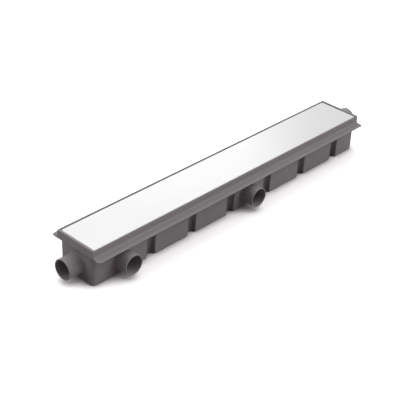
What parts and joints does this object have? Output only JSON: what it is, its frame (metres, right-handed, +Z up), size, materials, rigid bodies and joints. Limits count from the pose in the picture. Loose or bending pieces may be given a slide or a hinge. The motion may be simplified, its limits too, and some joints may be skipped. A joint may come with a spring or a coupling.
{
  "type": "channel drain",
  "caption": "Long shallow floor drain: grey moulded trough with flanges, fluted sides and pipe spigots, and a white closed cover that lies in its rim, just below the rim's top.",
  "frame": {"origin": "middle of the trough's flat underside", "axes": "+X along the channel towards the high inlet, -Y the side with two outlets, +Z up"},
  "size_m": [0.9851, 0.1701, 0.0968],
  "materials": {
    "grey_moulding": "satin grey PVC",
    "white_cover": "glossy white"
  },
  "bodies": {
    "root": {"channel_body": "grey_moulding", "cover_plate": "white_cover"}
  },
  "joints": []
}
